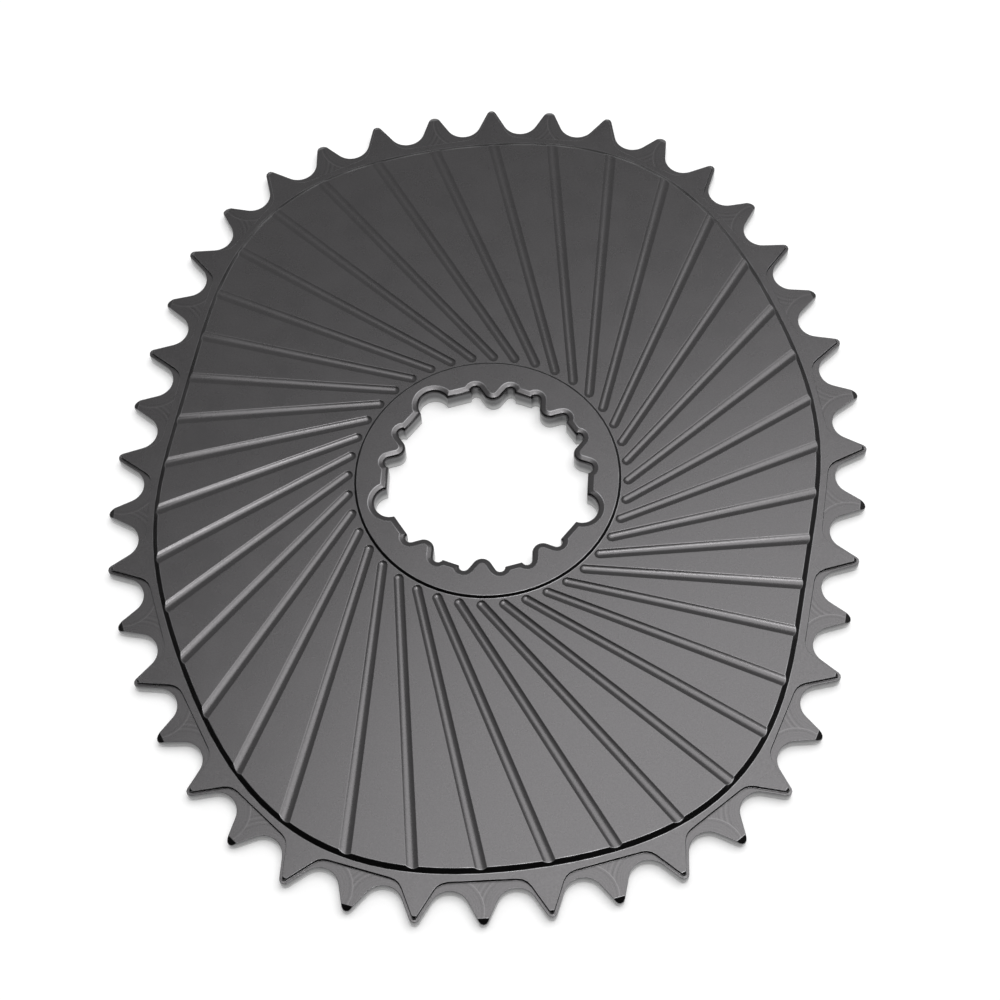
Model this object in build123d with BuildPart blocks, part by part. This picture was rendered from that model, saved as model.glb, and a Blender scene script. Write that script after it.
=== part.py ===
from build123d import *
import math
import os

# Oval narrow-wide chainring for a direct mount, machined from one plate.
# It lies on its back: +Z is the front face, the bore axis is Z, and the oval's long axis is Y.
# All lengths are millimetres and all angles are degrees.

os.makedirs("parts", exist_ok=True)

# Chain and tooth form
chain_pitch = 12.7          # from one roller seat to the next
tooth_pairs = 21            # a wide tooth and a narrow tooth make a pair
seat_radius = 3.95          # roller seat between two teeth
flank_angle = 26.0          # flank, measured from the tooth's own axis
tip_radius = 1.0            # round tip, seen from the front
tip_flats = 4               # short flats that make up a tip's round
narrow_thickness = 2.0      # fits between the chain's inner plates
wide_thickness = 3.5        # fits between the chain's outer plates, and is the rim's thickness
first_seat_angle = 0.35     # where the row of seats starts

# Oval of the pitch curve, as waves added to its mean radius
oval_wave = 9.2             # two per turn: long axis against short axis
shoulder_wave = 1.0         # four per turn: squares the shoulders
shoulder_turn = 40.8
flank_wave = 1.4            # six per turn: flattens one pair of flanks more than the other
flank_turn = 67.1

# Wide tooth: a thick island with a ledge left along its flanks
ledge = 0.6                 # ledge between the flank and the island
island_tip_width = 0.5
island_foot = 5.5           # island edge across a narrow tooth, below its pitch line
island_fillet = 3.2         # between that edge and the island's flank
island_fillet_flats = 3     # short flats that make up that round

# Tip bevels on both faces of every tooth
tip_bevel_run = 1.1
tip_bevel_drop = 0.68

# Raised web with its sloping edge
rim_land = 1.5              # flat between the island edge and the foot of the web
web_step = 0.7              # web above the rim
web_slope_run = 1.0

# Hub ring round the bore
hub_step = 0.45             # hub above the web
hub_slope_run = 0.5
hub_land = 1.75             # flat outside the bolt notches

# Swirl grooves with sloping walls, round at the hub and open at the web's edge
groove_count = 40
groove_offset = 19.1        # distance of each groove's line from the bore axis
groove_turn = 4.25          # direction of the first groove
groove_width = 2.3
groove_depth = 0.38
groove_wall_angle = 61.5    # wall, measured from upright
groove_end_flats = 4        # short flats that make up a groove end's round
groove_hub_gap = 0.5        # between the hub's foot and the groove

# Splined bore: lobes with relief notches, and three stations with a bolt notch instead
station_count = 10
bolt_stations = (1, 3, 7)   # stations that hold a bolt notch
bore_turn = 87.65           # direction of the first lobe
spline_radius = 20.45       # circle through the centres of lobes and relief notches
flat_drop = 0.05            # straight flats, inside that circle
lobe_radius = 2.15
relief_radius = 1.0
relief_neck = 0.4858        # clearance between a lobe and its relief notch
relief_flats = 6            # short flats that make up a relief notch's round
bolt_notch_radius = 3.22
bolt_notch_rise = 0.05      # centres of the bolt notches, outside that circle
bore_bevel_run = 1.3
bore_bevel_drop = 0.35

# Raised forms reach this far into what carries them
root_depth = 0.2

# Relief in the back of the web
back_relief_depth = 1.2
back_slope_run = 1.0
back_hub_land = 2.5         # back land outside the hub ring's foot
back_rim_land = 2.0         # back land inside the web's foot

# Sizes that follow
tooth_count = 2 * tooth_pairs
mid_height = wide_thickness / 2
web_height = wide_thickness + web_step
hub_height = web_height + hub_step
flat_distance = spline_radius - flat_drop
relief_chord = lobe_radius + relief_radius + relief_neck
relief_angle = 2 * math.degrees(math.asin(relief_chord / (2 * spline_radius)))
bolt_notch_centre = spline_radius + bolt_notch_rise
hub_top_radius = bolt_notch_centre + bolt_notch_radius + bore_bevel_run + hub_land
hub_foot_radius = hub_top_radius + hub_slope_run
web_foot_inset = island_foot + rim_land
web_top_inset = web_foot_inset + web_slope_run
back_relief_inset = web_foot_inset + back_rim_land
oval_points = 72            # points that carry each smooth oval outline


def polar(radius, angle):
    """Point at a radius and an angle in degrees round the bore axis."""
    return Vector(math.cos(math.radians(angle)), math.sin(math.radians(angle))) * radius


def angle_of(direction):
    """Angle of a direction in degrees."""
    return math.degrees(math.atan2(direction.Y, direction.X))


def round_points(centre, radius, start_angle, end_angle, flats):
    """Points of a small round that is made up of short flats."""
    turn = (end_angle - start_angle) / flats
    return [centre + polar(radius, start_angle + turn * step) for step in range(flats + 1)]


def halve(low, high, is_low):
    """Narrow a range down to the value where is_low turns false."""
    for _ in range(40):
        middle = (low + high) / 2
        if is_low(middle):
            low = middle
        else:
            high = middle
    return (low + high) / 2


# Pitch curve and roller seats


def oval_point(angle, mean_radius):
    """Point of the pitch curve at an angle in degrees."""
    turn = math.radians(angle)
    radius = (
        mean_radius
        - oval_wave * math.cos(2 * turn)
        + shoulder_wave * math.cos(4 * (turn - math.radians(shoulder_turn)))
        + flank_wave * math.cos(6 * (turn - math.radians(flank_turn)))
    )
    return polar(radius, angle)


def seat_angles(mean_radius):
    """Angles of the seats, one chain pitch apart along the curve; the last one closes the round."""
    angles = [first_seat_angle]
    for _ in range(tooth_count):
        seat = oval_point(angles[-1], mean_radius)

        def too_near(angle, seat=seat):
            return (oval_point(angle, mean_radius) - seat).length < chain_pitch

        angles.append(halve(angles[-1], angles[-1] + 720 / tooth_count, too_near))
    return angles


def seats_overrun(mean_radius):
    """True while the curve is so small that the seats run past a full turn."""
    angles = seat_angles(mean_radius)
    return angles[-1] - angles[0] > 360


round_radius = chain_pitch / (2 * math.sin(math.pi / tooth_count))
pitch_radius = halve(0.9 * round_radius, 1.1 * round_radius, seats_overrun)
seats = [oval_point(angle, pitch_radius) for angle in seat_angles(pitch_radius)[:-1]]


def inset_point(angle, inset):
    """Point a set distance inside the pitch curve, measured square to it."""
    step = 0.01
    along = oval_point(angle + step, pitch_radius) - oval_point(angle - step, pitch_radius)
    inward = Vector(-along.Y, along.X).normalized()
    return oval_point(angle, pitch_radius) + inward * inset


def oval_outline(inset):
    """Points of a smooth closed outline inside the pitch curve."""
    return [inset_point(360 / oval_points * index, inset) for index in range(oval_points)]


# Teeth


class ToothFrame:
    """Axes of one tooth: along runs from its first seat to the next, out points away from the hub."""

    def __init__(self, index):
        first = seats[index % tooth_count]
        second = seats[(index + 1) % tooth_count]
        self.middle = (first + second) / 2
        self.along = (second - first).normalized()
        self.out = Vector(self.along.Y, -self.along.X)

    def point(self, along, out):
        """Point measured along and out from the middle of the pitch line."""
        return self.middle + self.along * along + self.out * out


teeth = [ToothFrame(index) for index in range(tooth_count)]

# Profile in a tooth's own axes: seat arc, straight flank, round tip
flank_sin = math.sin(math.radians(flank_angle))
flank_cos = math.cos(math.radians(flank_angle))
flank_foot_along = chain_pitch / 2 - seat_radius * flank_cos
flank_foot_out = -seat_radius * flank_sin
apex_out = flank_foot_out + flank_foot_along * flank_cos / flank_sin
tip_centre_out = apex_out - tip_radius / flank_sin
tip_out = tip_centre_out + tip_radius
tip_spread = 90 - flank_angle
island_apex_out = apex_out - ledge / flank_sin
island_tip_out = island_apex_out - island_tip_width / 2 * flank_cos / flank_sin


def draw_teeth():
    """Draw the outline of all the teeth."""
    for index, tooth in enumerate(teeth):
        before = teeth[index - 1]
        seat_start = before.point(flank_foot_along, flank_foot_out)
        seat_bottom = seats[index] - (before.out + tooth.out).normalized() * seat_radius
        seat_end = tooth.point(-flank_foot_along, flank_foot_out)
        tip_centre = tooth.point(0, tip_centre_out)
        middle = angle_of(tooth.out)
        tip = round_points(tip_centre, tip_radius, middle - tip_spread, middle + tip_spread, tip_flats)
        ThreePointArc(seat_start, seat_bottom, seat_end)
        Polyline(seat_end, *tip, tooth.point(flank_foot_along, flank_foot_out))


def line_crossing(start, direction, other_start, other_direction):
    """Point where two lines in the plane cross."""
    gap = other_start - start
    turn = direction.X * other_direction.Y - direction.Y * other_direction.X
    return start + direction * ((gap.X * other_direction.Y - gap.Y * other_direction.X) / turn)


def island_side(index, side):
    """Points of one side of a wide tooth's island, from the foot beside it up to its tip."""
    wide = teeth[index]
    narrow = teeth[(index + side) % tooth_count]
    tip = wide.point(side * island_tip_width / 2, island_tip_out)
    down = wide.along * (side * flank_sin) - wide.out * flank_cos
    corner = line_crossing(tip, down, narrow.point(0, -island_foot), narrow.along)
    flank_side = wide.along * (side * flank_cos) + wide.out * flank_sin
    turn = math.remainder(angle_of(narrow.along * side) - angle_of(down), 360)
    back = island_fillet * math.tan(math.radians(abs(turn) / 2))
    centre = corner - down * back + flank_side * island_fillet
    start_angle = angle_of(-flank_side)
    fillet = round_points(centre, island_fillet, start_angle + turn, start_angle, island_fillet_flats)
    return [*fillet, tip]


def draw_islands():
    """Draw the outline of the full-thickness rim with its wide teeth."""
    corners = []
    for index in range(0, tooth_count, 2):
        corners += island_side(index, -1) + island_side(index, 1)[::-1]
    Polyline(*corners, close=True)


# Grooves


def groove_outline(index):
    """Corners of one groove's outline at the web's height, from its round end out past the web's foot."""
    angle = groove_turn + 360 / groove_count * index
    foot = polar(groove_offset, angle - 90)
    direction = polar(1, angle)
    aside = polar(groove_width / 2, angle + 90)
    end_radius = groove_width / 2
    start_radius = hub_foot_radius + groove_hub_gap
    start = math.sqrt(start_radius**2 - groove_offset**2) + end_radius

    def inside_rim(distance):
        place = foot + direction * distance
        curve_angle = angle_of(place)
        for _ in range(6):
            edge = inset_point(curve_angle, island_foot)
            curve_angle += math.remainder(angle_of(place) - angle_of(edge), 360)
        return place.length < inset_point(curve_angle, island_foot).length

    end = foot + direction * halve(start, 2 * pitch_radius, inside_rim)
    first = round_points(foot + direction * start, end_radius, angle + 90, angle + 270, groove_end_flats)
    return [*first, end - aside, end + aside]


# Bore


def station_angle(station):
    """Direction of a bore station."""
    return bore_turn + 360 / station_count * station


def flat_end(station, grow, centre, radius, side):
    """Where the flat after a station runs into a round notch, before or after the notch's centre."""
    middle = polar(flat_distance + grow, station_angle(station + 0.5))
    direction = polar(1, station_angle(station + 0.5) + 90)
    along = (centre - middle).dot(direction)
    away = (centre - middle - direction * along).length
    return middle + direction * (along + side * math.sqrt(radius**2 - away**2))


def lobe_half(station, grow, side):
    """Points from a lobe's side over its relief notch to the flat beside it."""
    lobe_centre = polar(spline_radius, station_angle(station))
    notch_centre = polar(spline_radius, station_angle(station) + side * relief_angle)
    gap = notch_centre - lobe_centre
    lean = math.acos((lobe_radius + relief_radius) / gap.length)
    toward = gap.normalized()
    inward = Vector(-toward.Y, toward.X) * side
    spoke = toward * math.cos(lean) + inward * math.sin(lean)
    notch_radius = relief_radius + grow
    flat_station = station if side > 0 else station - 1
    flat = flat_end(flat_station, grow, notch_centre, notch_radius, side)
    bottom = angle_of(notch_centre)
    start_angle = bottom + math.remainder(angle_of(-spoke) - bottom, 360)
    end_angle = bottom + math.remainder(angle_of(flat - notch_centre) - bottom, 360)
    notch = round_points(notch_centre, notch_radius, start_angle, end_angle, relief_flats)
    return [lobe_centre + spoke * (lobe_radius - grow), *notch]


def draw_lobe(station, grow):
    """Draw one lobe with a relief notch on each side, and return its two ends."""
    before = lobe_half(station, grow, -1)
    after = lobe_half(station, grow, 1)
    tip = polar(spline_radius - lobe_radius + grow, station_angle(station))
    Polyline(*reversed(before))
    ThreePointArc(before[0], tip, after[0])
    Polyline(*after)
    return before[-1], after[-1]


def draw_bolt_notch(station, grow):
    """Draw one round bolt notch, and return its two ends."""
    centre = polar(bolt_notch_centre, station_angle(station))
    radius = bolt_notch_radius + grow
    start = flat_end(station - 1, grow, centre, radius, -1)
    end = flat_end(station, grow, centre, radius, 1)
    ThreePointArc(start, centre + centre.normalized() * radius, end)
    return start, end


def draw_bore(grow=0.0):
    """Draw the bore's outline, moved outward by a set distance."""
    ends = []
    for station in range(station_count):
        draw_station = draw_bolt_notch if station in bolt_stations else draw_lobe
        ends.append(draw_station(station, grow))
    for station in range(station_count):
        Line(ends[station - 1][1], ends[station][0])


# Cutters

with BuildPart() as tip_bevels:
    for index, tooth in enumerate(teeth):
        half_thickness = (narrow_thickness if index % 2 else wide_thickness) / 2
        section = Plane(
            origin=tooth.point(seat_radius / 2, tip_out) + Vector(0, 0, mid_height),
            x_dir=tooth.out,
            z_dir=-tooth.along,
        )
        with BuildSketch(section):
            with BuildLine():
                Polyline(
                    (-tip_bevel_run, half_thickness),
                    (tip_bevel_run, half_thickness - 2 * tip_bevel_drop),
                    (tip_bevel_run, half_thickness),
                    close=True,
                )
            make_face()
            mirror(about=Plane.XZ)
    extrude(amount=seat_radius)

with BuildPart() as grooves:
    for index in range(groove_count):
        with BuildSketch(Plane.XY.offset(web_height)):
            with BuildLine():
                Polyline(*groove_outline(index), close=True)
            make_face()
    extrude(amount=-groove_depth, taper=groove_wall_angle)

with BuildPart() as back_relief:
    for inset, height in ((back_relief_inset, 0), (back_relief_inset + back_slope_run, back_relief_depth)):
        with BuildSketch(Plane.XY.offset(height)):
            with BuildLine():
                Spline(oval_outline(inset), periodic=True)
            make_face()
    loft(ruled=True)
    Cylinder(
        hub_foot_radius + back_hub_land,
        back_relief_depth,
        align=(Align.CENTER, Align.CENTER, Align.MIN),
        mode=Mode.SUBTRACT,
    )

with BuildPart() as bore:
    with BuildSketch():
        with BuildLine():
            draw_bore()
        make_face()
    extrude(amount=hub_height)
    for grow, height in ((0, hub_height - bore_bevel_drop), (bore_bevel_run, hub_height)):
        with BuildSketch(Plane.XY.offset(height)):
            with BuildLine():
                draw_bore(grow)
            make_face()
    loft(ruled=True)

# Chainring

with BuildPart() as chainring:
    # Narrow plate with every tooth
    with BuildSketch(Plane.XY.offset(mid_height - narrow_thickness / 2)):
        with BuildLine():
            draw_teeth()
        make_face()
    extrude(amount=narrow_thickness)

    # Full-thickness rim with the wide teeth
    with BuildSketch():
        with BuildLine():
            draw_islands()
        make_face()
    extrude(amount=wide_thickness)

    # Raised web with a sloping edge
    web_root_inset = web_foot_inset - root_depth * web_slope_run / web_step
    for inset, height in ((web_root_inset, wide_thickness - root_depth), (web_top_inset, web_height)):
        with BuildSketch(Plane.XY.offset(height)):
            with BuildLine():
                Spline(oval_outline(inset), periodic=True)
            make_face()
    loft(ruled=True)

    # Hub ring
    hub_root_radius = hub_foot_radius + root_depth * hub_slope_run / hub_step
    with Locations((0, 0, hub_height)):
        Cone(
            hub_root_radius,
            hub_top_radius,
            hub_step + root_depth,
            align=(Align.CENTER, Align.CENTER, Align.MAX),
        )

    for cutter in (tip_bevels, grooves, back_relief, bore):
        add(cutter.part, mode=Mode.SUBTRACT)

chainring.part.label = "chainring"
export_step(chainring.part, "parts/chainring.step")
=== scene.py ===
"""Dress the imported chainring: hollow grooves, rounded edges, black satin anodising, and its studio."""

from __future__ import annotations

import logging
import math
from collections.abc import Callable
from dataclasses import dataclass, field
from enum import Enum, IntEnum

import bmesh
import bpy
from mathutils import Matrix, Vector

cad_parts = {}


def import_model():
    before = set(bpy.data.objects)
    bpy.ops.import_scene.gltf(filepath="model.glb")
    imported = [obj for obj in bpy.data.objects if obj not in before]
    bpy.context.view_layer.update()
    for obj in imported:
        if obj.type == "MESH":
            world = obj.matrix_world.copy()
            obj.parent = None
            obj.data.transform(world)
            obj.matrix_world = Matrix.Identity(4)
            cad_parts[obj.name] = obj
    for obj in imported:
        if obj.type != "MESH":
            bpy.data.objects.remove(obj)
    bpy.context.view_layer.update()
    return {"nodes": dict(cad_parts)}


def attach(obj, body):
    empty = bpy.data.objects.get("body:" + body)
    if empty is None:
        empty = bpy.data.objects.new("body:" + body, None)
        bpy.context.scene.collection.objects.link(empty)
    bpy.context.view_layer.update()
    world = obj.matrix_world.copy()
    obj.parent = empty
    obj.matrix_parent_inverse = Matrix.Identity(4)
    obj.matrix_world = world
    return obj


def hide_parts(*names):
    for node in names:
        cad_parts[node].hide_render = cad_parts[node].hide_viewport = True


MM = 0.001
LOG = logging.getLogger("chainring")

Point = tuple[float, float, float]
Colour = tuple[float, float, float, float]

UP = Vector((0.0, 0.0, 1.0))
WHITE: Colour = (1.0, 1.0, 1.0, 1.0)
NOISE_MIDDLE = 0.5


class Look(Enum):
    """Names of the finishes in the scene."""

    ANODISED = "black_satin_anodising"
    MILLED = "milled_tooth_faces"
    CUT_WALL = "cut_walls"
    FLOOR = "white_floor"


class FinishSlot(IntEnum):
    """Places of the finishes in the piece's list of materials."""

    ANODISED = 0
    MILLED = 1
    CUT_WALL = 2


class MixSocket(IntEnum):
    """Places of a colour Mix node's sockets."""

    SHARE = 0
    FIRST = 6
    SECOND = 7
    RESULT = 2


@dataclass
class Heights:
    """Heights of the chainring's level faces above the floor, in metres."""

    back: float = 0.0
    narrow_back: float = 0.75 * MM
    back_relief: float = 1.2 * MM
    narrow_face: float = 2.75 * MM
    rim: float = 3.5 * MM
    groove_floor: float = 3.82 * MM
    web: float = 4.2 * MM
    hub: float = 4.65 * MM
    tolerance: float = 0.01 * MM
    level_share: float = 0.99

    def at(self, face: bmesh.types.BMFace, *levels: float) -> bool:
        """Tell whether a face is level and lies at one of the given heights.

        Args:
            face: The face to test.
            levels: Heights that count.

        Returns:
            True if it lies at one of them.
        """
        if abs(face.normal.z) < self.level_share:
            return False
        height = face.verts[0].co.z
        return any(abs(height - level) < self.tolerance for level in levels)


@dataclass
class ToothAxes:
    """Axes of one tooth: along runs from its first roller seat to the next, out points away from the bore."""

    middle: Vector
    along: Vector
    out: Vector

    def local(self, place: Vector) -> tuple[float, float]:
        """Give a place as its distances along and out from the tooth's middle."""
        reach = Vector((place.x, place.y, 0.0)) - self.middle
        return reach.dot(self.along), reach.dot(self.out)


@dataclass
class PitchCurve:
    """The oval that the chain's rollers sit on, with its seats one chain pitch apart."""

    mean_radius: float = 83.7301 * MM
    oval_wave: float = 9.2 * MM
    shoulder_wave: float = 1.0 * MM
    shoulder_turn: float = math.radians(40.8)
    flank_wave: float = 1.4 * MM
    flank_turn: float = math.radians(67.1)
    chain_pitch: float = 12.7 * MM
    tooth_count: int = 42
    first_seat: float = math.radians(0.35)
    halvings: int = 40

    def point(self, angle: float) -> Vector:
        """Give the curve's point at an angle round the bore axis.

        Args:
            angle: Angle from the X axis.

        Returns:
            The point, at the height of the back.
        """
        radius = (
            self.mean_radius
            - self.oval_wave * math.cos(2 * angle)
            + self.shoulder_wave * math.cos(4 * (angle - self.shoulder_turn))
            + self.flank_wave * math.cos(6 * (angle - self.flank_turn))
        )
        return Vector((radius * math.cos(angle), radius * math.sin(angle), 0.0))

    def next_seat(self, angle: float) -> float:
        """Find the angle of the seat one chain pitch further on.

        Args:
            angle: Angle of a seat.

        Returns:
            Angle of the seat after it.
        """
        low = angle
        high = angle + 4 * math.pi / self.tooth_count
        for _ in range(self.halvings):
            middle = (low + high) / 2
            if (self.point(middle) - self.point(angle)).length < self.chain_pitch:
                low = middle
            else:
                high = middle
        return (low + high) / 2

    def teeth(self) -> list[ToothAxes]:
        """Give the axes of every tooth in order; the even ones are the wide teeth.

        Returns:
            One set of axes for each tooth.
        """
        angles = [self.first_seat]
        for _ in range(self.tooth_count):
            angles.append(self.next_seat(angles[-1]))
        seats = [self.point(angle) for angle in angles]
        axes = []
        for first, second in zip(seats[:-1], seats[1:]):
            along = (second - first).normalized()
            axes.append(ToothAxes((first + second) / 2, along, Vector((along.y, -along.x, 0.0))))
        return axes


@dataclass
class GrooveLine:
    """Middle line of one groove: along runs out from the hub to the open end, aside points to its left."""

    foot: Vector
    along: Vector
    aside: Vector
    end: float = 0.0

    def local(self, place: Vector) -> tuple[float, float]:
        """Give a place as its distances along and aside from the line's foot."""
        reach = Vector((place.x, place.y, 0.0)) - self.foot
        return reach.dot(self.along), reach.dot(self.aside)


@dataclass
class SwirlGrooves:
    """The web's grooves: smooth hollows, round at the hub, and wider and shallower at the rim."""

    count: int = 40
    offset: float = 19.1 * MM  # from the bore axis to each groove's middle line
    first_turn: float = math.radians(4.25)
    round_centre: float = 21.308 * MM  # along the line, middle of the round hub end
    cut_half_width: float = 1.15 * MM  # of the plain grooves in the CAD form
    hub_half_widths: tuple[float, float] = (1.1 * MM, 1.1 * MM)  # left and right
    open_half_widths: tuple[float, float] = (1.25 * MM, 1.3 * MM)  # left and right
    hub_depth: float = 0.35 * MM
    open_depth: float = 0.27 * MM
    steepest: float = 0.85  # share of the half width at which the wall is steepest
    reach: float = 3.0 * MM  # from the line to where the web's edge no longer moves
    grid_cuts: int = 11  # on each side of the line, and in the round end
    length_cuts: int = 6
    cut_tolerance: float = 0.002 * MM
    slope_share: float = 0.2  # least upward share of the normal of the slope round the web
    mark: str = "groove"

    def nearest(self, place: Vector) -> int:
        """Give the number of the groove whose line runs nearest to a place outside the hub."""
        angle = math.atan2(place.y, place.x) + math.asin(self.offset / place.xy.length)
        return round((angle - self.first_turn) * self.count / (2 * math.pi)) % self.count

    def line(self, index: int) -> GrooveLine:
        """Give the middle line of a groove.

        Args:
            index: Number of the groove.

        Returns:
            The line, whose end isn't measured yet.
        """
        angle = self.first_turn + 2 * math.pi * index / self.count
        along = Vector((math.cos(angle), math.sin(angle), 0.0))
        aside = Vector((-along.y, along.x, 0.0))
        return GrooveLine(-self.offset * aside, along, aside)

    def hollow(self, mesh: bmesh.types.BMesh, levels: Heights) -> None:
        """Turn the plain grooves of the CAD form into smooth hollows.

        Args:
            mesh: The piece's mesh.
            levels: Heights of its level faces.
        """
        marked = mesh.faces.layers.int.new(self.mark)
        grooves: list[list[bmesh.types.BMFace]] = [[] for _ in range(self.count)]
        edges: list[list[bmesh.types.BMVert]] = [[] for _ in range(self.count)]
        for face in mesh.faces:
            if self.is_groove(face, levels):
                grooves[self.nearest(face.calc_center_median())].append(face)
        for corner in mesh.verts:
            if self.is_web_edge(corner, levels):
                edges[self.nearest(corner.co)].append(corner)
        for index, faces in enumerate(grooves):
            line = self.line(index)
            line.end = max(line.local(corner.co)[0] for face in faces for corner in face.verts)
            faces = self.cut_grid(mesh, faces, line)
            for face in faces:
                face[marked] = 1
            mesh.normal_update()
            corners = {corner for face in faces for corner in face.verts}
            for corner in corners:
                self.move(corner, line, levels)
            for corner in edges[index]:
                if corner not in corners:
                    self.move(corner, line, levels)
        mesh.normal_update()

    @staticmethod
    def is_groove(face: bmesh.types.BMFace, levels: Heights) -> bool:
        """Tell whether a face is a groove's floor or wall.

        Args:
            face: The face to test.
            levels: Heights of the level faces.

        Returns:
            True if it is.
        """
        heights = [corner.co.z for corner in face.verts]
        if min(heights) < levels.groove_floor - levels.tolerance:
            return False
        if max(heights) > levels.web + levels.tolerance:
            return False
        return not levels.at(face, levels.web)

    def is_edge_slope(self, face: bmesh.types.BMFace, levels: Heights) -> bool:
        """Tell whether a face is part of the slope round the web.

        Args:
            face: The face to test.
            levels: Heights of the level faces.

        Returns:
            True if it is.
        """
        lowest = min(corner.co.z for corner in face.verts)
        if lowest >= levels.rim + levels.tolerance:
            return False
        return self.slope_share < face.normal.z < levels.level_share

    def is_web_edge(self, corner: bmesh.types.BMVert, levels: Heights) -> bool:
        """Tell whether a corner lies on the upper edge of the slope round the web.

        Args:
            corner: The corner to test.
            levels: Heights of the level faces.

        Returns:
            True if it does.
        """
        if not any(self.is_edge_slope(face, levels) for face in corner.link_faces):
            return False
        return any(levels.at(face, levels.web) for face in corner.link_faces)

    def cut_grid(
        self, mesh: bmesh.types.BMesh, faces: list[bmesh.types.BMFace], line: GrooveLine
    ) -> list[bmesh.types.BMFace]:
        """Cut a groove's faces into a fine grid along and across its line.

        Args:
            mesh: The piece's mesh.
            faces: Faces of the groove.
            line: The groove's middle line.

        Returns:
            The faces of the grid.
        """
        fine = self.cut_half_width / (self.grid_cuts + 1)
        coarse = (line.end - self.round_centre) / (self.length_cuts + 1)
        across = [self.round_centre - fine * number for number in range(1, self.grid_cuts + 1)]
        across += [self.round_centre + coarse * number for number in range(self.length_cuts + 1)]
        planes = [(line.foot + line.along * distance, line.along) for distance in across]
        for number in range(-self.grid_cuts, self.grid_cuts + 1):
            planes.append((line.foot + line.aside * (fine * number), line.aside))
        shape = {*faces}
        shape.update(edge for face in faces for edge in face.edges)
        shape.update(corner for face in faces for corner in face.verts)
        parts = list(shape)
        for place, normal in planes:
            cut = bmesh.ops.bisect_plane(
                mesh, geom=parts, dist=self.cut_tolerance, plane_co=place, plane_no=normal
            )
            parts = cut["geom"]
        return [part for part in parts if isinstance(part, bmesh.types.BMFace)]

    def move(self, corner: bmesh.types.BMVert, line: GrooveLine, levels: Heights) -> None:
        """Move a corner of a groove's grid, or of the web's edge beside it, to the hollow's surface.

        Args:
            corner: The corner to move.
            line: The groove's middle line.
            levels: Heights of the level faces.
        """
        along, aside = line.local(corner.co)
        share = min(max((along - self.round_centre) / (line.end - self.round_centre), 0.0), 1.0)
        back = min(along - self.round_centre, 0.0)
        out = max(math.hypot(aside, back), self.cut_tolerance)
        widening = self.half_width(share, aside / out) - self.cut_half_width
        if out < self.cut_half_width:
            widening *= out / self.cut_half_width
        else:
            widening *= max(self.reach - out, 0.0) / (self.reach - self.cut_half_width)
        shift = (line.aside * aside + line.along * back) * (widening / out)
        if not any(levels.at(face, levels.web) for face in corner.link_faces):
            depth = self.hub_depth + (self.open_depth - self.hub_depth) * share
            shift.z = levels.web - depth * (1.0 - self.rise(out / self.cut_half_width)) - corner.co.z
        for face in corner.link_faces:
            if self.is_edge_slope(face, levels):
                shift -= line.along * (face.normal.dot(shift) / face.normal.dot(line.along))
                break
        corner.co += shift

    def half_width(self, share: float, side: float) -> float:
        """Give a groove's half width.

        Args:
            share: Share of the way from the hub end to the open end.
            side: From 1 for its left side to -1 for its right side.

        Returns:
            The distance from its middle line to its edge.
        """
        left, right = (
            hub + (wide - hub) * share for hub, wide in zip(self.hub_half_widths, self.open_half_widths)
        )
        return (left + right) / 2 + side * (left - right) / 2

    def rise(self, place: float) -> float:
        """Give the rise of a groove's wall: steeper and steeper to a point near its edge, then rounded off.

        Args:
            place: Share of the way from the middle line to the edge.

        Returns:
            Share of the groove's depth.
        """
        if place < self.steepest:
            return place * place / self.steepest
        rest = max(1.0 - place, 0.0)
        return 1.0 - rest * rest / (1.0 - self.steepest)


def deselect_all() -> None:
    """Leave edit mode and deselect every object."""
    if bpy.context.mode != "OBJECT":
        bpy.ops.object.mode_set(mode="OBJECT")
    bpy.ops.object.select_all(action="DESELECT")


def make_active(piece: bpy.types.Object) -> None:
    """Select one object alone and make it the active one.

    Args:
        piece: The object.
    """
    deselect_all()
    piece.select_set(True)
    bpy.context.view_layer.objects.active = piece


def select_faces(piece: bpy.types.Object, wanted: Callable[[bmesh.types.BMFace], bool]) -> None:
    """Select the faces of a piece in edit mode that pass a test, and no others.

    Args:
        piece: The piece.
        wanted: The test that a face has to pass.
    """
    bpy.ops.mesh.select_all(action="DESELECT")
    mesh = bmesh.from_edit_mesh(piece.data)
    for face in [face for face in mesh.faces if wanted(face)]:
        face.select_set(True)
    bmesh.update_edit_mesh(piece.data)


def select_edges(piece: bpy.types.Object, wanted: Callable[[bmesh.types.BMEdge], bool]) -> None:
    """Select the edges of a piece in edit mode that pass a test, and no others.

    Args:
        piece: The piece.
        wanted: The test that an edge has to pass.
    """
    bpy.ops.mesh.select_all(action="DESELECT")
    mesh = bmesh.from_edit_mesh(piece.data)
    for edge in [edge for edge in mesh.edges if wanted(edge)]:
        edge.select_set(True)
    bmesh.update_edit_mesh(piece.data)


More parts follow.
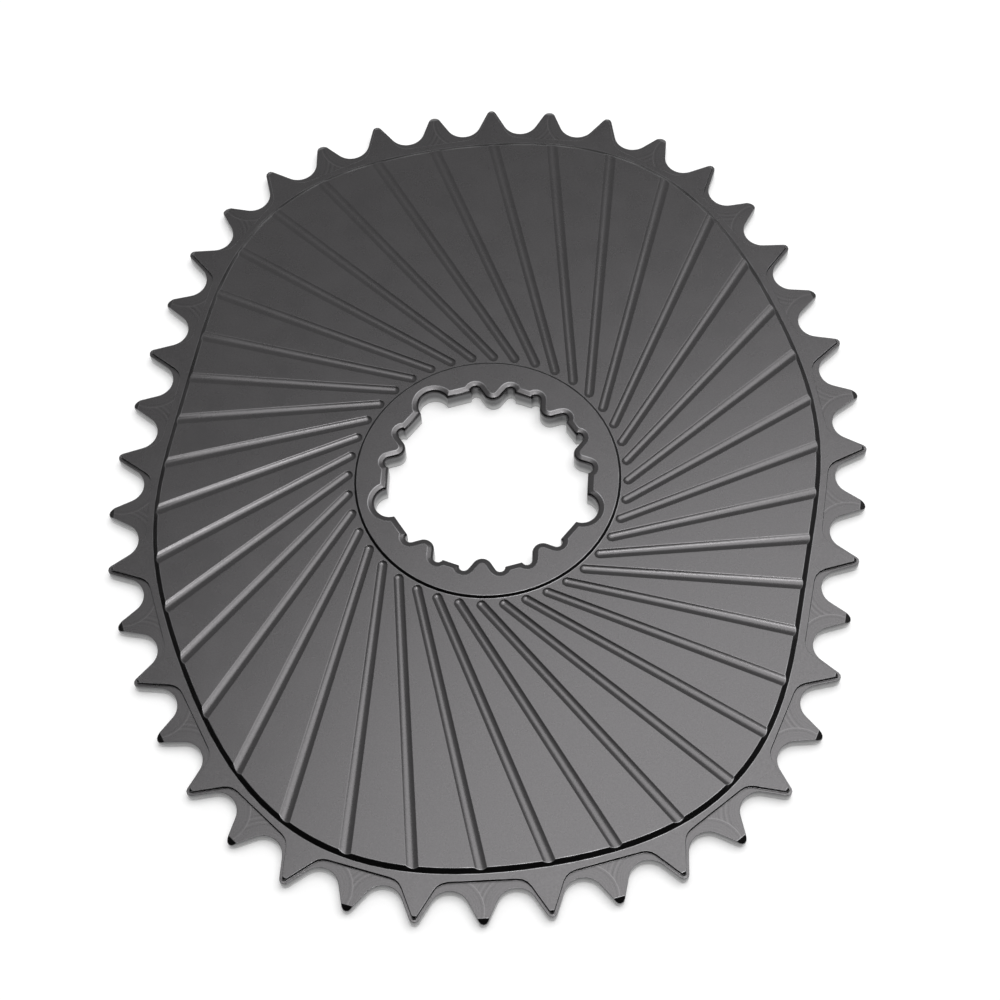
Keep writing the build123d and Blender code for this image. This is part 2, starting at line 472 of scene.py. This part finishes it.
@dataclass
class Chainring:
    """The one machined piece: a copy of the CAD form with hollow grooves and rounded edges."""

    node: str = "chainring"
    body: str = "root"
    slot: str = "anodised_aluminium"
    heights: Heights = field(default_factory=Heights)
    pitch_curve: PitchCurve = field(default_factory=PitchCurve)
    grooves: SwirlGrooves = field(default_factory=SwirlGrooves)
    merge_distance: float = 0.001 * MM
    flat_angle: float = math.radians(0.4)
    sector_cuts: int = 10
    first_cut: float = math.radians(2.0)
    inner_zone: float = 45.0 * MM  # radius that parts the bore and hub from the rim and teeth
    groove_gap: float = 0.05 * MM  # height above the rim at which the grooves' open ends begin
    bore_edge: float = 4.3 * MM  # height of the edge between the bore's walls and its bevel
    bore_foot: float = 4.25 * MM  # height that every face of the bevel stands above
    bore_reach: float = 0.55 * MM  # length of the round on each side of that edge
    bore_rows: int = 5
    bore_turn: float = math.radians(37.5)  # half the turn from the wall to the bevel
    bevel_rise: float = 0.26  # rise of the bevel for each unit along it
    bevel_lean: float = 0.9  # least upward share of the bevel's normals
    least_facing: float = 0.2  # length of a sum of normals that still gives a direction
    edge_round: float = 0.1 * MM
    edge_segments: int = 2
    edge_profile: float = 0.5
    level_corner: float = math.radians(12)  # least angle at which a level edge or a groove's end is rounded
    upright_corner: float = math.radians(40)  # least angle at which any other edge is rounded
    smooth_angle: float = math.radians(50)
    wear_and_glint_name: str = "rounded_edge"
    axes_name: str = "tooth_axes"
    wall_middle: float = 1.75 * MM  # height of the middle of the cut walls
    wall_reach: float = 0.5 * MM  # how far a wall's own middle may lie from that height
    wall_lean: float = 0.3  # upward share of the normal below which a face is a wall

    def build(self, source: bpy.types.Object) -> bpy.types.Object:
        """Make the finished piece from the CAD node.

        Args:
            source: The CAD node's object, which stays as it is.

        Returns:
            The new piece, riding on its body in place of the node.
        """
        piece = bpy.data.objects.new(f"{self.node}_dressed", source.data.copy())
        bpy.context.scene.collection.objects.link(piece)
        make_active(piece)
        bpy.ops.object.mode_set(mode="EDIT")
        bpy.ops.mesh.select_mode(type="EDGE")
        self.merge()
        self.cut_sectors(piece)
        self.clear_flats()
        self.round_grooves(piece)
        self.round_bore(piece)
        self.round_edges(piece)
        bpy.ops.object.mode_set(mode="OBJECT")
        self.smooth(piece)
        self.lay_tooth_axes(piece)
        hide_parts(self.node)
        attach(piece, self.body)
        return piece

    def merge(self) -> None:
        """Join the loose triangles of the active mesh."""
        bpy.ops.mesh.select_all(action="SELECT")
        bpy.ops.mesh.remove_doubles(threshold=self.merge_distance)
        bpy.ops.mesh.customdata_custom_splitnormals_clear()

    def cut_sectors(self, piece: bpy.types.Object) -> None:
        """Cut the level faces into sectors, so that none of them keeps a hole.

        Args:
            piece: The merged piece, in edit mode.
        """
        for index in range(self.sector_cuts):
            angle = self.first_cut + math.pi * index / self.sector_cuts
            select_faces(piece, self.is_inner_face)
            self.cut_selected(Vector(), Vector((-math.sin(angle), math.cos(angle), 0.0)))
        for tooth in self.pitch_curve.teeth()[::2]:
            select_faces(piece, lambda face, tooth=tooth: self.is_rim_face(face, tooth))
            self.cut_selected(tooth.middle, tooth.along)

    def is_inner_face(self, face: bmesh.types.BMFace) -> bool:
        """Tell whether a face is level and belongs to the web, the hub or the back behind them.

        Args:
            face: The face to test.

        Returns:
            True if it does.
        """
        levels = self.heights
        if levels.at(face, levels.web, levels.hub, levels.back_relief):
            return True
        return levels.at(face, levels.back) and face.calc_center_median().xy.length < self.inner_zone

    def is_rim_face(self, face: bmesh.types.BMFace, tooth: ToothAxes) -> bool:
        """Tell whether a face is level, belongs to the rim or the teeth, and spans a tooth's axis.

        Args:
            face: The face to test.
            tooth: Axes of the tooth.

        Returns:
            True if it does.
        """
        levels = self.heights
        if not levels.at(face, levels.back, levels.narrow_back, levels.narrow_face, levels.rim):
            return False
        centre = face.calc_center_median()
        if centre.xy.length < self.inner_zone or centre.dot(tooth.out) < 0:
            return False
        sides = [tooth.local(corner.co)[0] for corner in face.verts]
        return min(sides) < 0 < max(sides)

    def cut_selected(self, place: Vector, normal: Vector) -> None:
        """Cut the selected faces with a plane and mark the cut, so that it stays."""
        bpy.ops.mesh.bisect(plane_co=place, plane_no=normal, threshold=self.merge_distance)
        bpy.ops.mesh.mark_seam(clear=False)

    def clear_flats(self) -> None:
        """Clear the edges inside flat faces, apart from the marked cuts."""
        bpy.ops.mesh.select_all(action="SELECT")
        bpy.ops.mesh.dissolve_limited(angle_limit=self.flat_angle, delimit={"SEAM"})
        bpy.ops.mesh.select_all(action="SELECT")
        bpy.ops.mesh.mark_seam(clear=True)

    def round_grooves(self, piece: bpy.types.Object) -> None:
        """Make the grooves smooth hollows."""
        self.grooves.hollow(bmesh.from_edit_mesh(piece.data), self.heights)
        bmesh.update_edit_mesh(piece.data)

    def round_bore(self, piece: bpy.types.Object) -> None:
        """Round the edge between the bore's walls and its bevel: cut level rows beside it and bend them.

        Args:
            piece: The piece, in edit mode.
        """
        for number in range(1, self.bore_rows + 1):
            reach = self.bore_reach * number / self.bore_rows
            for height in (self.bore_edge - reach, self.bore_edge + reach * self.bevel_rise):
                select_faces(piece, lambda face, height=height: self.is_bore_face(face, height))
                bpy.ops.mesh.bisect(plane_co=UP * height, plane_no=UP, threshold=self.merge_distance)
        mesh = bmesh.from_edit_mesh(piece.data)
        mesh.normal_update()
        for corner in mesh.verts:
            if corner.co.xy.length < self.inner_zone:
                self.bend(corner)
        bmesh.update_edit_mesh(piece.data)

    def is_bore_face(self, face: bmesh.types.BMFace, height: float) -> bool:
        """Tell whether a face belongs to the bore's walls or its bevel and spans a height.

        Args:
            face: The face to test.
            height: The height to span.

        Returns:
            True if it does.
        """
        if not self.is_bore_wall(face) and not self.is_bore_bevel(face):
            return False
        heights = [corner.co.z for corner in face.verts]
        return min(heights) < height < max(heights)

    def is_bore_wall(self, face: bmesh.types.BMFace) -> bool:
        """Tell whether a face is an upright wall of the bore."""
        return abs(face.normal.z) < self.wall_lean and face.verts[0].co.xy.length < self.inner_zone

    def is_bore_bevel(self, face: bmesh.types.BMFace) -> bool:
        """Tell whether a face belongs to the bevel round the bore.

        Args:
            face: The face to test.

        Returns:
            True if it does.
        """
        if face.verts[0].co.xy.length > self.inner_zone:
            return False
        if min(corner.co.z for corner in face.verts) < self.bore_foot:
            return False
        return self.bevel_lean < face.normal.z < self.heights.level_share

    def bend(self, corner: bmesh.types.BMVert) -> None:
        """Move a corner beside the bore's edge to the round that touches the wall and the bevel.

        Args:
            corner: The corner, which stays if it lies further off.
        """
        above = corner.co.z > self.bore_edge + self.merge_distance
        kind = self.is_bore_bevel if above else self.is_bore_wall
        facing = sum((face.normal for face in corner.link_faces if kind(face)), Vector())
        reach = (corner.co.z - self.bore_edge) / self.bevel_rise if above else self.bore_edge - corner.co.z
        if reach > self.bore_reach or facing.length < self.least_facing:
            return
        normal = facing.normalized()
        away = UP - normal * normal.z if above else -UP
        radius = self.bore_reach / math.tan(self.bore_turn)
        turn = self.bore_turn * (1.0 - max(reach, 0.0) / self.bore_reach)
        slide = self.bore_reach - radius * math.sin(turn) - reach
        corner.co += away.normalized() * slide - normal * (radius * (1.0 - math.cos(turn)))

    def round_edges(self, piece: bpy.types.Object) -> None:
        """Round every sharp edge a little and mark the narrow faces of the rounds, which are drawn lighter as
        worn metal with a painted highlight.

        Args:
            piece: The piece, in edit mode.
        """
        levels = self.heights
        grooves = bmesh.from_edit_mesh(piece.data).faces.layers.int[self.grooves.mark]

        def is_corner(edge: bmesh.types.BMEdge) -> bool:
            """Tell whether an edge is a sharp corner; grooves and small rounds in plan are smooth.

            Args:
                edge: The edge to test.

            Returns:
                True if it is to be rounded.
            """
            if all(face[grooves] or levels.at(face, levels.web) for face in edge.link_faces):
                return False
            first, second = (corner.co for corner in edge.verts)
            level = abs(first.z - second.z) < levels.tolerance
            raised = min(first.z, second.z) > levels.rim + self.groove_gap
            outlet = raised and first.xy.length > self.inner_zone
            limit = self.level_corner if level or outlet else self.upright_corner
            return edge.calc_face_angle(0.0) > limit

        select_edges(piece, is_corner)
        bpy.ops.mesh.bevel(
            offset=self.edge_round,
            offset_type="OFFSET",
            segments=self.edge_segments,
            profile=self.edge_profile,
            clamp_overlap=False,
            loop_slide=False,
        )
        mesh = bmesh.from_edit_mesh(piece.data)
        worn = mesh.faces.layers.float.new(self.wear_and_glint_name)
        for face in [face for face in mesh.faces if face.select]:
            longest = max(edge.calc_length() for edge in face.edges)
            face[worn] = float(face.calc_area() < self.edge_round * longest)
        bmesh.update_edit_mesh(piece.data)

    def smooth(self, piece: bpy.types.Object) -> None:
        """Smooth the shading over the rounds while the large faces stay flat.

        Args:
            piece: The piece, in object mode.
        """
        bpy.ops.object.shade_smooth_by_angle(angle=self.smooth_angle)
        weighting = piece.modifiers.new("flat_faces_lead", "WEIGHTED_NORMAL")
        weighting.mode = "FACE_AREA"
        weighting.keep_sharp = True
        bpy.ops.object.modifier_apply(modifier=weighting.name)

    def lay_tooth_axes(self, piece: bpy.types.Object) -> None:
        """Give the narrow teeth's faces a map in their own tooth's axes, in chain pitches.

        Args:
            piece: The piece, in object mode.
        """
        mesh = piece.data
        layer = mesh.uv_layers.new(name=self.axes_name)
        pitch = self.pitch_curve.chain_pitch
        narrow_teeth = self.pitch_curve.teeth()[1::2]
        for polygon in mesh.polygons:
            if not self.is_milled(polygon):
                continue
            centre = polygon.center
            tooth = min(narrow_teeth, key=lambda axes: (axes.middle.xy - centre.xy).length)
            for loop in polygon.loop_indices:
                along, out = tooth.local(mesh.vertices[mesh.loops[loop].vertex_index].co)
                layer.data[loop].uv = (along / pitch, out / pitch)

    def is_milled(self, polygon: bpy.types.MeshPolygon) -> bool:
        """Tell whether a polygon is a level face of the narrow teeth.

        Args:
            polygon: The polygon to test.

        Returns:
            True if it is.
        """
        levels = self.heights
        if abs(polygon.normal.z) < levels.level_share:
            return False
        milled_levels = (levels.narrow_face, levels.narrow_back)
        return any(abs(polygon.center.z - level) < levels.tolerance for level in milled_levels)

    def is_cut_wall(self, polygon: bpy.types.MeshPolygon) -> bool:
        """Tell whether a polygon is an upright wall of the teeth or the bore.

        Args:
            polygon: The polygon to test.

        Returns:
            True if it is.
        """
        if abs(polygon.normal.z) >= self.wall_lean:
            return False
        return abs(polygon.center.z - self.wall_middle) < self.wall_reach

    def dress(self, piece: bpy.types.Object) -> None:
        """Put the finishes on the piece: anodising, milled tooth faces, and cut walls with painted floor
        light.

        Args:
            piece: The finished piece.
        """
        mesh = piece.data
        mesh.materials.clear()
        wear = EdgeWearAndGlints(self.wear_and_glint_name).build()
        grain = SatinGrain().build()
        dust = DustSpecks().build()
        for finish in (Anodising(), MilledFaces(axes_name=self.axes_name), CutWalls()):
            mesh.materials.append(finish.build(grain, wear, dust))
        for polygon in mesh.polygons:
            if self.is_milled(polygon):
                polygon.material_index = FinishSlot.MILLED
            elif self.is_cut_wall(polygon):
                polygon.material_index = FinishSlot.CUT_WALL
            else:
                polygon.material_index = FinishSlot.ANODISED


class NodeSheet:
    """A node tree that is being filled: adds nodes and feeds their sockets."""

    def __init__(self, tree: bpy.types.NodeTree) -> None:
        """Keep the tree to fill."""
        self.tree = tree

    def add(self, kind: str, **settings: object) -> bpy.types.Node:
        """Add a node and set its properties.

        Args:
            kind: The node's type.
            settings: Properties of the node.

        Returns:
            The new node.
        """
        node = self.tree.nodes.new(kind)
        for name, value in settings.items():
            setattr(node, name, value)
        return node

    def feed(self, socket: bpy.types.NodeSocket, value: object) -> None:
        """Link a socket to another one, or set its plain value.

        Args:
            socket: The socket to feed.
            value: Another socket, or a plain value.
        """
        if isinstance(value, bpy.types.NodeSocket):
            self.tree.links.new(value, socket)
        else:
            socket.default_value = value

    def math(self, operation: str, *values: object) -> bpy.types.NodeSocket:
        """Combine values.

        Args:
            operation: What to do with them.
            values: Sockets or plain values.

        Returns:
            The result's socket.
        """
        node = self.add("ShaderNodeMath", operation=operation)
        for socket, value in zip(node.inputs, values):
            self.feed(socket, value)
        return node.outputs[0]

    def spread(
        self, value: object, low: float, high: float, to_low: float, to_high: float
    ) -> bpy.types.NodeSocket:
        """Map a value smoothly from one range to another.

        Args:
            value: A socket or a plain value.
            low: Low end of its range.
            high: High end of its range.
            to_low: Result at the low end.
            to_high: Result at the high end.

        Returns:
            The result's socket.
        """
        node = self.add("ShaderNodeMapRange", interpolation_type="SMOOTHSTEP")
        for socket, given in zip(node.inputs, (value, low, high, to_low, to_high)):
            self.feed(socket, given)
        return node.outputs[0]

    def noise(self, place: bpy.types.NodeSocket, scale: object, detail: float) -> bpy.types.NodeSocket:
        """Add a noise pattern.

        Args:
            place: Socket of the place to read it at.
            scale: A socket or a plain scale.
            detail: How many finer layers it has.

        Returns:
            The result's socket.
        """
        node = self.add("ShaderNodeTexNoise")
        self.feed(node.inputs["Vector"], place)
        self.feed(node.inputs["Scale"], scale)
        self.feed(node.inputs["Detail"], detail)
        return node.outputs[0]


class EffectGroup:
    """A node group for an effect that several finishes share."""

    name: str = ""
    inputs: tuple[tuple[str, float], ...] = ()
    outputs: tuple[str, ...] = ()

    def start(self) -> tuple[bpy.types.NodeTree, NodeSheet, bpy.types.Node, bpy.types.Node]:
        """Make the empty group with its sockets.

        Returns:
            The group, a sheet to fill it with, and its input and output nodes.
        """
        tree = bpy.data.node_groups.new(self.name, "ShaderNodeTree")
        for name, value in self.inputs:
            socket = tree.interface.new_socket(name=name, in_out="INPUT", socket_type="NodeSocketFloat")
            socket.default_value = value
        for name in self.outputs:
            tree.interface.new_socket(name=name, in_out="OUTPUT", socket_type="NodeSocketFloat")
        sheet = NodeSheet(tree)
        return tree, sheet, sheet.add("NodeGroupInput"), sheet.add("NodeGroupOutput")


@dataclass(frozen=True)
class SatinGrain(EffectGroup):
    """Fine blasted grain under the anodising, with a faint cloudiness."""

    name: str = "satin_grain"
    inputs: tuple[tuple[str, float], ...] = (("Grain Scale", 3600.0), ("Strength", 1.0))
    outputs: tuple[str, ...] = ("Shade", "Roughness", "Height")
    cloud_scale: float = 160.0
    detail: float = 3.0
    grain_share: float = 0.5
    cloud_share: float = 0.12
    roughness: float = 0.276
    roughness_share: float = 0.05

    def build(self) -> bpy.types.NodeTree:
        """Fill the group.

        Returns:
            The finished group.
        """
        tree, sheet, given, result = self.start()
        place = sheet.add("ShaderNodeTexCoord").outputs["Object"]
        grain = sheet.noise(place, given.outputs["Grain Scale"], self.detail)
        grain = sheet.math("SUBTRACT", grain, NOISE_MIDDLE)
        cloud = sheet.noise(place, self.cloud_scale, self.detail)
        cloud = sheet.math("SUBTRACT", cloud, NOISE_MIDDLE)
        grain = sheet.math("MULTIPLY", grain, given.outputs["Strength"])
        shade = sheet.math("MULTIPLY_ADD", grain, self.grain_share, 1.0)
        shade = sheet.math("MULTIPLY_ADD", cloud, self.cloud_share, shade)
        rough = sheet.math("MULTIPLY_ADD", cloud, self.roughness_share, self.roughness)
        sheet.feed(result.inputs["Shade"], shade)
        sheet.feed(result.inputs["Roughness"], rough)
        sheet.feed(result.inputs["Height"], grain)
        return tree


@dataclass(frozen=True)
class EdgeWearAndGlints(EffectGroup):
    """Worn, lighter metal along the small rounds, which also paints highlight lines along the edges."""

    wear_and_glint_name: str
    name: str = "edge_wear_and_painted_glints"
    inputs: tuple[tuple[str, float], ...] = (("Amount", 0.5),)
    outputs: tuple[str, ...] = ("Wear",)
    patch_scale: float = 260.0
    patch_detail: float = 4.0
    patch_low: float = 0.35
    patch_high: float = 0.65
    least_wear: float = 0.35

    def build(self) -> bpy.types.NodeTree:
        """Fill the group.

        Returns:
            The finished group.
        """
        tree, sheet, given, result = self.start()
        place = sheet.add("ShaderNodeTexCoord").outputs["Object"]
        patches = sheet.noise(place, self.patch_scale, self.patch_detail)
        patches = sheet.spread(patches, self.patch_low, self.patch_high, self.least_wear, 1.0)
        edge = sheet.add("ShaderNodeAttribute", attribute_name=self.wear_and_glint_name).outputs["Fac"]
        wear = sheet.math("MULTIPLY", sheet.math("MULTIPLY", edge, patches), given.outputs["Amount"])
        sheet.feed(result.inputs["Wear"], wear)
        return tree


@dataclass(frozen=True)
class DustSpecks(EffectGroup):
    """A few pale specks of dust."""

    name: str = "dust_specks"
    inputs: tuple[tuple[str, float], ...] = (("Cell Scale", 110.0),)
    outputs: tuple[str, ...] = ("Specks",)
    speck_size: float = 0.016
    speck_edge: float = 0.01
    bare_share: float = 0.86

    def build(self) -> bpy.types.NodeTree:
        """Fill the group.

        Returns:
            The finished group.
        """
        tree, sheet, given, result = self.start()
        place = sheet.add("ShaderNodeTexCoord").outputs["Object"]
        cells = sheet.add("ShaderNodeTexVoronoi")
        sheet.feed(cells.inputs["Vector"], place)
        sheet.feed(cells.inputs["Scale"], given.outputs["Cell Scale"])
        chance = sheet.add("ShaderNodeSeparateColor")
        sheet.feed(chance.inputs[0], cells.outputs["Color"])
        size = sheet.math("MULTIPLY", chance.outputs[1], self.speck_size)
        near = sheet.math("SUBTRACT", size, cells.outputs["Distance"])
        speck = sheet.spread(near, -self.speck_edge, self.speck_edge, 0.0, 1.0)
        chosen = sheet.math("GREATER_THAN", chance.outputs[0], self.bare_share)
        sheet.feed(result.inputs["Specks"], sheet.math("MULTIPLY", speck, chosen))
        return tree


@dataclass(frozen=True)
class Anodising:
    """Black satin anodising over machined aluminium."""

    look: Look = Look.ANODISED
    colour: Colour = (0.0715, 0.0695, 0.0712, 1.0)
    # lighter colour of the rounds: worn metal, and a painted highlight along the edges
    worn_and_glint_colour: Colour = (0.34, 0.34, 0.35, 1.0)
    dust_colour: Colour = (0.75, 0.72, 0.70, 1.0)
    metallic: float = 1.0
    wear: float = 0.3
    dust: float = 0.5
    bump: float = 0.12
    bump_depth: float = 0.004 * MM

    def build(
        self, grain: bpy.types.NodeTree, wear: bpy.types.NodeTree, dust: bpy.types.NodeTree
    ) -> bpy.types.Material:
        """Make the finish's material.

        Args:
            grain: Group that gives the fine grain.
            wear: Group that gives the worn edges and their painted highlight lines.
            dust: Group that gives the specks of dust.

        Returns:
            The finished material.
        """
        material = bpy.data.materials.new(self.look.value)
        material.use_nodes = True
        sheet = NodeSheet(material.node_tree)
        shader = material.node_tree.nodes["Principled BSDF"]
        shader.inputs["Metallic"].default_value = self.metallic
        fine = sheet.add("ShaderNodeGroup", node_tree=grain)
        worn = sheet.add("ShaderNodeGroup", node_tree=wear)
        worn.inputs["Amount"].default_value = self.wear
        specks = sheet.add("ShaderNodeGroup", node_tree=dust)
        shade = self.pattern(sheet, fine.outputs["Shade"])
        tint = sheet.add("ShaderNodeVectorMath", operation="SCALE")
        sheet.feed(tint.inputs[0], self.ground(sheet))
        sheet.feed(tint.inputs["Scale"], shade)
        # the rounds drawn lighter: worn metal, and a painted highlight line along each edge
        colour = self.blend(sheet, worn.outputs["Wear"], tint.outputs[0], self.worn_and_glint_colour)
        specks_share = sheet.math("MULTIPLY", specks.outputs["Specks"], self.dust)
        colour = self.blend(sheet, specks_share, colour, self.dust_colour)
        sheet.feed(shader.inputs["Base Color"], colour)
        sheet.feed(shader.inputs["Roughness"], fine.outputs["Roughness"])
        bump = sheet.add("ShaderNodeBump")
        bump.inputs["Strength"].default_value = self.bump
        bump.inputs["Distance"].default_value = self.bump_depth
        sheet.feed(bump.inputs["Height"], fine.outputs["Height"])
        sheet.feed(shader.inputs["Normal"], bump.outputs[0])
        return material

    def ground(self, sheet: NodeSheet) -> object:
        """Give the colour under the grain."""
        return self.colour[:3]

    def pattern(self, sheet: NodeSheet, shade: bpy.types.NodeSocket) -> bpy.types.NodeSocket:
        """Give the shade of the surface, from the shade of its grain."""
        return shade

    @staticmethod
    def blend(sheet: NodeSheet, share: object, first: object, second: object) -> bpy.types.NodeSocket:
        """Blend two colours.

        Args:
            sheet: The material's node sheet.
            share: Share of the second colour.
            first: First colour or its socket.
            second: Second colour or its socket.

        Returns:
            The result's socket.
        """
        node = sheet.add("ShaderNodeMix", data_type="RGBA")
        sheet.feed(node.inputs[MixSocket.SHARE], share)
        sheet.feed(node.inputs[MixSocket.FIRST], first)
        sheet.feed(node.inputs[MixSocket.SECOND], second)
        return node.outputs[MixSocket.RESULT]


@dataclass(frozen=True)
class MilledFaces(Anodising):
    """The same anodising on the narrow teeth, with the arcs that the cutter left round the roller seats."""

    look: Look = Look.MILLED
    axes_name: str = ""
    half_pitch: float = 0.5  # from the tooth's middle to each seat; lengths here are in chain pitches
    last_pass: float = 0.525  # radius of the last cut, round the seat before the tooth
    line_width: float = 0.012
    line_share: float = 0.3
    band_scale: float = 26.0
    band_detail: float = 2.0
    band_share: float = 0.55

    def pattern(self, sheet: NodeSheet, shade: bpy.types.NodeSocket) -> bpy.types.NodeSocket:
        """Lay the cutter's arcs over the grain, round the seat before the tooth and the one after it.

        Args:
            sheet: The material's node sheet.
            shade: Shade of the grain.

        Returns:
            Shade of the surface.
        """
        axes = sheet.add("ShaderNodeUVMap", uv_map=self.axes_name).outputs[0]
        reaches = []
        for seat in (-self.half_pitch, self.half_pitch):
            reach = sheet.add("ShaderNodeVectorMath", operation="DISTANCE")
            sheet.feed(reach.inputs[0], axes)
            sheet.feed(reach.inputs[1], (seat, 0.0, 0.0))
            reaches.append(reach.outputs["Value"])
        covered = sheet.math("LESS_THAN", reaches[0], self.last_pass)
        gap = sheet.math("SUBTRACT", reaches[0], reaches[1])
        ring = sheet.math("MULTIPLY_ADD", gap, covered, reaches[1])
        bands = sheet.add("ShaderNodeTexNoise", noise_dimensions="1D")
        sheet.feed(bands.inputs["W"], ring)
        sheet.feed(bands.inputs["Scale"], self.band_scale)
        sheet.feed(bands.inputs["Detail"], self.band_detail)
        bands_shade = sheet.math("SUBTRACT", bands.outputs[0], NOISE_MIDDLE)
        edge = sheet.math("ABSOLUTE", sheet.math("SUBTRACT", reaches[0], self.last_pass))
        line = sheet.spread(edge, 0.0, self.line_width, self.line_share, 0.0)
        marks = sheet.math("MULTIPLY_ADD", bands_shade, self.band_share, line)
        return sheet.math("ADD", shade, marks)


@dataclass(frozen=True)
class CutWalls(Anodising):
    """Upright walls of the teeth and the bore, drawn lighter towards the back as a painted reflection of the
    bright floor.
    """

    look: Look = Look.CUT_WALL
    top_colour: Colour = (0.12, 0.12, 0.122, 1.0)
    # painted reflection of the bright floor: the walls' colour near the back
    painted_floor_light_colour: Colour = (0.45, 0.45, 0.45, 1.0)
    top: float = 2.6 * MM
    foot: float = 0.4 * MM

    def ground(self, sheet: NodeSheet) -> object:
        """Give the colour under the grain, by height, with the floor's light painted on the lower part.

        Args:
            sheet: The material's node sheet.

        Returns:
            Socket of the colour.
        """
        place = sheet.add("ShaderNodeTexCoord").outputs["Object"]
        axes = sheet.add("ShaderNodeSeparateXYZ")
        sheet.feed(axes.inputs[0], place)
        # painted floor light: the walls get lighter towards the floor
        share = sheet.spread(axes.outputs["Z"], self.foot, self.top, 1.0, 0.0)
        return self.blend(sheet, share, self.top_colour, self.painted_floor_light_colour)


@dataclass
class Softbox:
    """A round soft lamp that points at the piece."""

    name: str
    place: Point
    size: float
    power: float

    def build(self) -> None:
        """Add the lamp."""
        light = bpy.data.lights.new(self.name, "AREA")
        light.shape = "DISK"
        light.size = self.size
        light.energy = self.power
        lamp = bpy.data.objects.new(self.name, light)
        lamp.location = self.place
        lamp.rotation_euler = (-Vector(self.place)).to_track_quat("-Z", "Y").to_euler()
        bpy.context.scene.collection.objects.link(lamp)


@dataclass
class Studio:
    """Floor, lamps, world and camera."""

    floor_size: float = 20.0
    floor_colour: Colour = (0.8, 0.8, 0.8, 1.0)
    floor_roughness: float = 0.9
    floor_gloss: float = 0.0
    floor_glow: float = 0.25
    camera_place: Point = (21.09 * MM, -227.39 * MM, 427.19 * MM)
    camera_aim: Point = (2.42 * MM, -2.985 * MM, 0.0)
    camera_roll: float = math.radians(-4.611)
    camera_lens: float = 84.92
    camera_sensor: float = 36.0
    camera_near: float = 10.0 * MM
    lamps: tuple[Softbox, ...] = (
        Softbox("overhead_softbox", place=(0.20, 0.11, 1.0), size=0.94, power=6.6),
        Softbox("small_softbox", place=(0.08, -0.12, 1.0), size=0.2, power=1.4),
    )
    sky_axis: Point = (0.0, 0.6, 0.8)
    sky_low: float = 0.3
    sky_high: float = 0.75
    sky_strength: float = 0.7

    def build(self) -> None:
        """Build the whole setting."""
        bpy.context.scene.view_settings.view_transform = "Standard"
        self.add_floor()
        for softbox in self.lamps:
            softbox.build()
        self.set_world()
        self.add_camera()

    def add_floor(self) -> None:
        """Add the pale floor that the piece lies on."""
        deselect_all()
        bpy.ops.mesh.primitive_plane_add(size=self.floor_size)
        floor = bpy.context.active_object
        floor.name = "floor"
        material = bpy.data.materials.new(Look.FLOOR.value)
        material.use_nodes = True
        sheet = NodeSheet(material.node_tree)
        shader = material.node_tree.nodes["Principled BSDF"]
        shader.inputs["Base Color"].default_value = self.floor_colour
        shader.inputs["Roughness"].default_value = self.floor_roughness
        shader.inputs["Specular IOR Level"].default_value = self.floor_gloss
        path = sheet.add("ShaderNodeLightPath")
        seen = sheet.math("MAXIMUM", path.outputs["Is Camera Ray"], path.outputs["Is Glossy Ray"])
        shader.inputs["Emission Color"].default_value = WHITE
        sheet.feed(shader.inputs["Emission Strength"], sheet.math("MULTIPLY", seen, self.floor_glow))
        floor.data.materials.append(material)

    def set_world(self) -> None:
        """Set the surroundings: bright overhead and behind the piece, dark on the camera's side."""
        world = bpy.data.worlds.new("surroundings")
        world.use_nodes = True
        sheet = NodeSheet(world.node_tree)
        background = world.node_tree.nodes["Background"]
        toward = sheet.add("ShaderNodeVectorMath", operation="DOT_PRODUCT")
        sheet.feed(toward.inputs[0], sheet.add("ShaderNodeTexCoord").outputs["Generated"])
        sheet.feed(toward.inputs[1], self.sky_axis)
        glow = sheet.spread(toward.outputs["Value"], self.sky_low, self.sky_high, 0.0, self.sky_strength)
        sheet.feed(background.inputs["Strength"], glow)
        background.inputs["Color"].default_value = WHITE
        bpy.context.scene.world = world

    def add_camera(self) -> None:
        """Add the camera at the photograph's viewing angle."""
        data = bpy.data.cameras.new("camera")
        data.lens = self.camera_lens
        data.sensor_width = self.camera_sensor
        data.sensor_fit = "HORIZONTAL"
        data.clip_start = self.camera_near
        camera = bpy.data.objects.new("camera", data)
        look = Vector(self.camera_aim) - Vector(self.camera_place)
        turn = look.to_track_quat("-Z", "Y").to_matrix().to_4x4() @ Matrix.Rotation(self.camera_roll, 4, "Z")
        camera.matrix_world = Matrix.Translation(self.camera_place) @ turn
        bpy.context.scene.collection.objects.link(camera)
        bpy.context.scene.camera = camera


def main() -> None:
    """Build the piece and its setting, and log how many faces the piece has."""
    logging.basicConfig(level=logging.INFO, format="%(name)s: %(message)s")
    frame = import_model()
    ring = Chainring()
    piece = ring.build(frame["nodes"][ring.node])
    ring.dress(piece)
    LOG.info("%s: %d faces", piece.name, len(piece.data.polygons))
    Studio().build()


if __name__ == "__main__":
    main()
